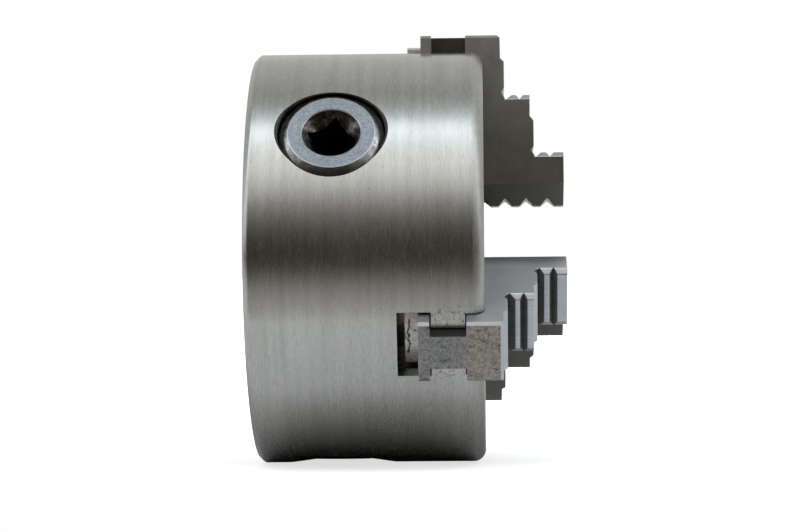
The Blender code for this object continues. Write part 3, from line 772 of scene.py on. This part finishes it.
BODY_STEEL = turned_steel("turned_body_steel", (0.465, 0.463, 0.447), (0.355, 0.353, 0.337), 0.25, 0.6,
                          3000, 14, BODY_LENGTH - 2.8 * MM)
COVER_STEEL = turned_steel("cover_steel", (0.36, 0.355, 0.345), (0.28, 0.275, 0.265), 0.34, 0.4, 2500)
SCROLL_STEEL = turned_steel("scroll_steel", (0.30, 0.295, 0.285), (0.2, 0.195, 0.19), 0.36, 0.3, 2500)
SCREW_STEEL = turned_steel("black_screw_steel", (0.055, 0.055, 0.055), (0.03, 0.03, 0.03), 0.42, 0, 2500)
# A dark steel that paints shade on the walls of the pinion holes
HOLE_SHADE_STEEL = turned_steel("hole_wall_shade_steel", (0.10, 0.095, 0.09), (0.05, 0.047, 0.044), 0.4, 0, 2500)
# Oil and painted shade in the key socket: its dark walls stand in for a deeper socket
SOCKET_OIL_AND_SHADE_STEEL = turned_steel("oiled_socket_shade_steel", (0.03, 0.028, 0.027), (0.015, 0.014, 0.013), 0.5, 0, 2500)
PINION_STEEL = pinion_steel("pinion_steel")
# The jaws are one steel in lit and shaded copies: the front jaw painted lighter and bluer, the rear jaw
# painted darker
JAW_STEELS = (
    ground_steel("top_jaw_steel", (0.30, 0.293, 0.28), (0.225, 0.218, 0.205), 0.44, worn=True,
                 nose=(0.47, 0.45, 0.37)),
    ground_steel("front_jaw_painted_light_steel", (0.50, 0.525, 0.565), (0.40, 0.42, 0.455), 0.46, worn=True,
                 nose=(0.40, 0.41, 0.44), fade=(18.5, 22.5)),
    ground_steel("rear_jaw_painted_shade_steel", (0.14, 0.14, 0.13), (0.10, 0.10, 0.092), 0.46, worn=True, oil=0.35))
# Painted shade for the slopes of the jaws' grip grooves
GROOVE_SHADE_STEEL = ground_steel("groove_shade_steel", (0.27, 0.268, 0.265), (0.19, 0.187, 0.184), 0.4)
# Bright edges: real wear, and a painted highlight
JAW_EDGE_WEAR_AND_HIGHLIGHT_STEEL = ground_steel("edge_wear_and_highlight_steel", (0.50, 0.50, 0.52), (0.38, 0.38, 0.39), 0.30)

# ---------------------------------------------------------------- put together

settle(make_body(), LEVEL, "body", "chuck_body", []).name = "turned_body"
settle(make_cover(), CHUCK, "body", "cover_plate", [COVER_STEEL]).name = "cover"
OUTER_TOOTH = 52 * MM
OUTER_TEETH = (OUTER_TOOTH, OUTER_TOOTH - SCROLL_PITCH * 4 / 3, OUTER_TOOTH - SCROLL_PITCH * 2 / 3)
for n in range(3):
    settle(make_pinion(), pinion_place(n), f"pinion_{n + 1}", f"pinion_{n + 1}",
           []).name = f"key_pinion_{n + 1}"
    settle(make_cover_screw(), screw_place(n, COVER_SCREW_CIRCLE), "body",
           f"cover_screw_{n + 1}", [SCREW_STEEL]).name = f"cover_bolt_{n + 1}"
    settle(make_pinion_screw(), screw_place(n, BOLT_CIRCLE), "body",
           f"pinion_screw_{n + 1}", [SCREW_STEEL]).name = f"pinion_bolt_{n + 1}"
    settle(make_jaw(OUTER_TEETH[n], JAW_STEELS[n], worn_and_highlit_end=n == 1), CHUCK @ turn(n * THIRD), f"jaw_{n + 1}",
           f"jaw_{n + 1}", []).name = f"stepped_jaw_{n + 1}"

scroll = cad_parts["scroll_plate"]
scroll.data.materials.clear()
scroll.data.materials.append(SCROLL_STEEL)

# ---------------------------------------------------------------- floor, light and camera

FLOOR = -BODY_RADIUS
FLOOR_FRONT = 0.105


def make_floor():
    """A white floor that glows where it's seen directly and is darker close to the chuck, a painted contact
    shadow.
    """
    mesh = bpy.data.meshes.new("floor")
    shape = bmesh.new()
    bmesh.ops.create_grid(shape, x_segments=1, y_segments=1, size=3)
    bmesh.ops.translate(shape, verts=shape.verts, vec=(0, 3 - FLOOR_FRONT, 0))
    shape.to_mesh(mesh)
    shape.free()
    floor = mesh_object("floor", mesh)
    floor.location.z = FLOOR
    paper = bpy.data.materials.new("white_floor")
    paper.use_nodes = True
    shader = paper.node_tree.nodes["Principled BSDF"]
    shader.inputs["Roughness"].default_value = 1
    shader.inputs["Specular IOR Level"].default_value = 0
    shader.inputs["Emission Color"].default_value = (1, 1, 1, 1)
    nodes = paper.node_tree.nodes
    links = paper.node_tree.links
    path = nodes.new("ShaderNodeLightPath")
    glow = nodes.new("ShaderNodeMapRange")
    glow.inputs["To Min"].default_value = 0
    glow.inputs["To Max"].default_value = 0.7
    links.new(path.outputs["Is Camera Ray"], glow.inputs["Value"])
    links.new(glow.outputs["Result"], shader.inputs["Emission Strength"])
    place = nodes.new("ShaderNodeTexCoord")
    offset = nodes.new("ShaderNodeVectorMath")
    offset.operation = "MULTIPLY_ADD"
    offset.inputs[1].default_value = (0.4, 1, 0)
    offset.inputs[2].default_value = (-0.4 * BODY_LENGTH / 2, 0, 0)
    links.new(place.outputs["Object"], offset.inputs[0])
    reach = nodes.new("ShaderNodeVectorMath")
    reach.operation = "LENGTH"
    links.new(offset.outputs[0], reach.inputs[0])
    # Painted contact shadow: the floor's colour is darker close to the chuck
    shade = nodes.new("ShaderNodeMapRange")
    for name, number in (("From Min", 0.01), ("From Max", 0.045), ("To Min", 0.35), ("To Max", 0.9)):
        shade.inputs[name].default_value = number
    links.new(reach.outputs["Value"], shade.inputs["Value"])
    links.new(shade.outputs["Result"], shader.inputs["Base Color"])
    mesh.materials.append(paper)


# The studio by the height a ray leaves the chuck at: 0 degrees towards the camera, 90 straight up.
STUDIO = (
    (-180, 0.70, 0.70, 0.69), (-120, 0.26, 0.26, 0.25), (-90, 0.50, 0.50, 0.49), (-40, 0.72, 0.71, 0.69),
    (-30, 0.66, 0.65, 0.63), (-17, 0.42, 0.41, 0.39), (-11, 0.24, 0.225, 0.20), (-5, 0.075, 0.065, 0.05),
    (3, 0.05, 0.04, 0.03), (10, 0.08, 0.07, 0.055), (17, 0.15, 0.14, 0.12), (24, 0.27, 0.26, 0.24),
    (31, 0.49, 0.48, 0.46), (38, 0.90, 0.89, 0.87), (45, 1.25, 1.24, 1.22), (52, 1.48, 1.47, 1.45),
    (62, 1.62, 1.66, 1.68), (68, 1.85, 1.96, 2.06), (74, 2.22, 2.38, 2.54), (78, 2.0, 2.18, 2.34),
    (83, 1.15, 1.27, 1.36), (88, 0.80, 0.88, 0.92), (94, 0.60, 0.63, 0.63), (104, 0.52, 0.525, 0.50),
    (118, 0.68, 0.685, 0.66), (130, 0.71, 0.71, 0.69), (155, 0.70, 0.70, 0.68), (180, 0.65, 0.65, 0.64))
STUDIO_LEVEL = 2.5


def make_world():
    """Soft light that changes with height only, dark where the camera stands, white where seen directly."""
    world = bpy.data.worlds.new("studio")
    bpy.context.scene.world = world
    world.use_nodes = True
    nodes = world.node_tree.nodes
    links = world.node_tree.links
    nodes.clear()
    place = nodes.new("ShaderNodeTexCoord")
    parts = nodes.new("ShaderNodeSeparateXYZ")
    links.new(place.outputs["Generated"], parts.inputs[0])
    nearer = nodes.new("ShaderNodeMath")
    nearer.operation = "MULTIPLY"
    nearer.inputs[1].default_value = -1
    links.new(parts.outputs["Y"], nearer.inputs[0])
    height = nodes.new("ShaderNodeMath")
    height.operation = "ARCTAN2"
    links.new(parts.outputs["Z"], height.inputs[0])
    links.new(nearer.outputs[0], height.inputs[1])
    share = nodes.new("ShaderNodeMapRange")
    share.inputs["From Min"].default_value = -pi
    share.inputs["From Max"].default_value = pi
    links.new(height.outputs[0], share.inputs["Value"])
    shade = nodes.new("ShaderNodeValToRGB")
    ramp = shade.color_ramp
    ramp.elements.remove(ramp.elements[1])
    for number, (degrees, *colour) in enumerate(STUDIO):
        position = degrees / 360 + 0.5
        stop = ramp.elements[0] if number == 0 else ramp.elements.new(position)
        stop.position = position
        stop.color = (*[level / STUDIO_LEVEL for level in colour], 1)
    links.new(share.outputs[0], shade.inputs[0])
    around = nodes.new("ShaderNodeBackground")
    around.inputs["Strength"].default_value = STUDIO_LEVEL
    links.new(shade.outputs[0], around.inputs["Color"])
    seen = nodes.new("ShaderNodeBackground")
    seen.inputs["Color"].default_value = (1, 1, 1, 1)
    path = nodes.new("ShaderNodeLightPath")
    mix = nodes.new("ShaderNodeMixShader")
    links.new(path.outputs["Is Camera Ray"], mix.inputs[0])
    links.new(around.outputs[0], mix.inputs[1])
    links.new(seen.outputs[0], mix.inputs[2])
    out = nodes.new("ShaderNodeOutputWorld")
    links.new(mix.outputs[0], out.inputs["Surface"])


def softbox(name, elevation, azimuth, distance, width, height, power, colour):
    light = bpy.data.lights.new(name, "AREA")
    light.shape = "RECTANGLE"
    light.size = width
    light.size_y = height
    light.energy = power
    light.color = colour
    lamp = bpy.data.objects.new(name, light)
    bpy.context.scene.collection.objects.link(lamp)
    towards = Vector((sin(azimuth) * cos(elevation), -cos(azimuth) * cos(elevation), sin(elevation)))
    target = Vector((BODY_LENGTH / 2, 0, 0))
    lamp.location = target + towards * distance
    lamp.rotation_mode = "QUATERNION"
    lamp.rotation_quaternion = towards.to_track_quat("Z", "Y")


def make_camera():
    camera = bpy.data.cameras.new("camera")
    camera.sensor_width = 36
    camera.lens = 113.8
    camera.clip_start = 0.01
    view = bpy.data.objects.new("camera", camera)
    bpy.context.scene.collection.objects.link(view)
    yaw, pitch, roll = radians(1.94), radians(-0.19), radians(-0.55)
    distance = 0.62
    view.matrix_world = (Matrix.Translation((BODY_LENGTH, -distance, 0)) @ Matrix.Rotation(yaw, 4, "Z")
                         @ Matrix.Rotation(pi / 2 + pitch, 4, "X") @ turn(roll))
    bpy.context.scene.camera = view


make_floor()
make_world()
softbox("overhead_softbox", elevation=radians(74), azimuth=0, distance=0.8, width=1.3, height=0.16,
        power=0.1, colour=(0.93, 0.98, 1.03))
make_camera()
bpy.context.scene.view_settings.view_transform = "Standard"
